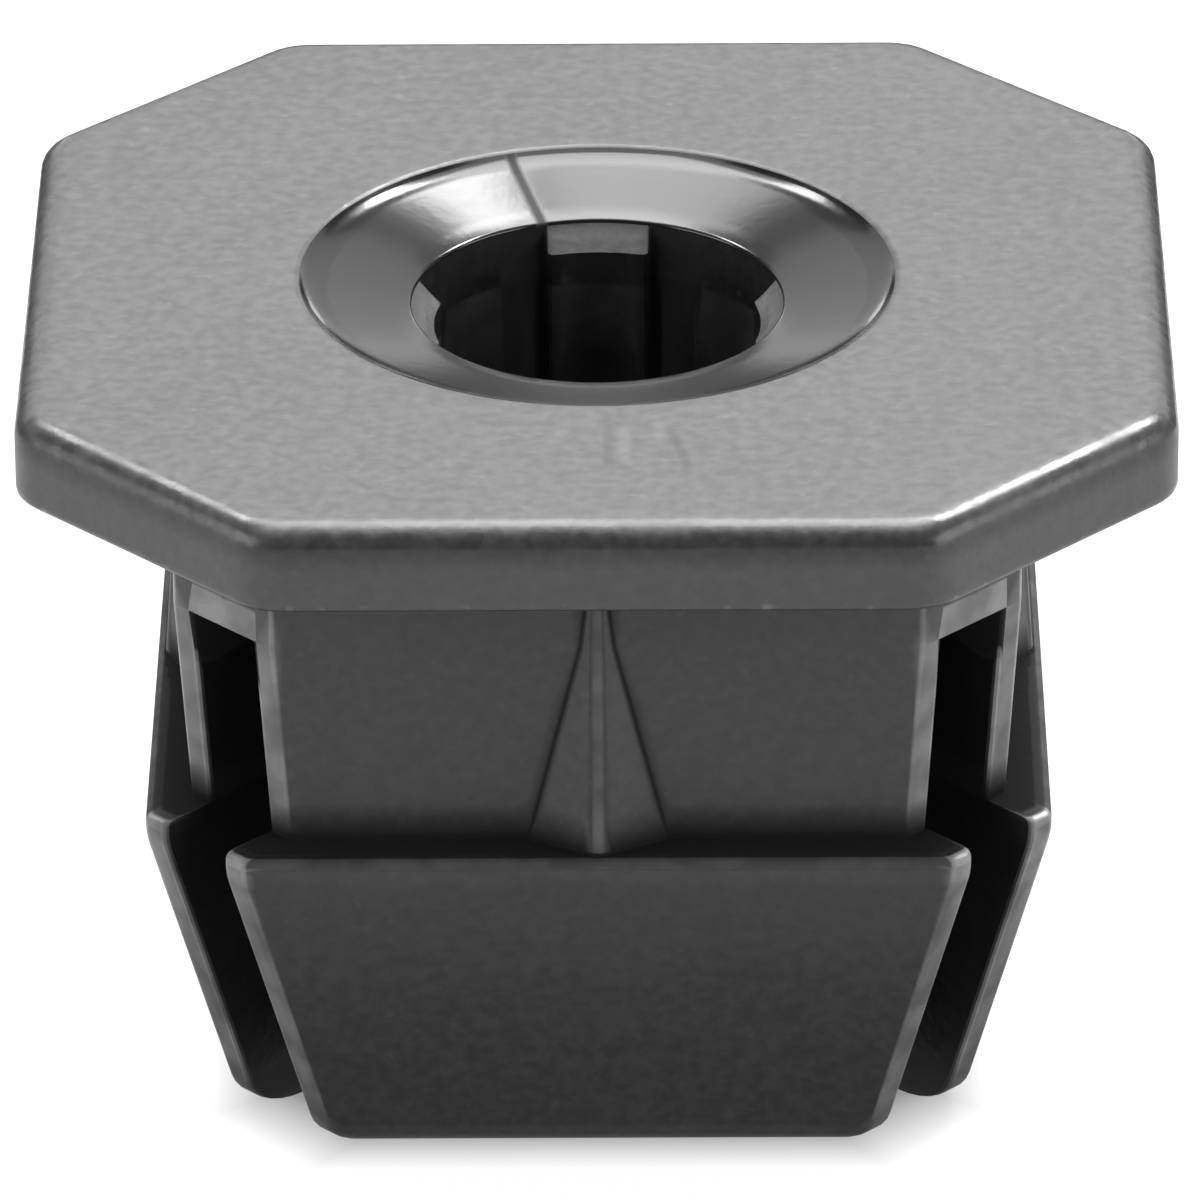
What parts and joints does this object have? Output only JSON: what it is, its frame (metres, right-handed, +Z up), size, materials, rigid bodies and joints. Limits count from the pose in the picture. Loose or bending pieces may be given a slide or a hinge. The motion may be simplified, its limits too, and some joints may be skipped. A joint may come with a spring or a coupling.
{
  "type": "retainer nut",
  "caption": "Moulded snap-in nut: a cut-corner square head with a dished, ribbed screw hole over a slotted square shank whose barbed spring legs lock in a panel hole.",
  "frame": {"origin": "on the screw axis, at the level of the leg tips that the nut stands on", "axes": "+Z runs up the screw axis from the leg tips to the head; +X and +Y are square to the head's flats and to the legs"},
  "size_m": [0.0126, 0.0126, 0.0089],
  "materials": {
    "moulded_grey": "satin as-moulded nylon, charcoal grey, faintly mottled"
  },
  "bodies": {
    "root": {"retainer_nut": "moulded_grey"}
  },
  "joints": []
}
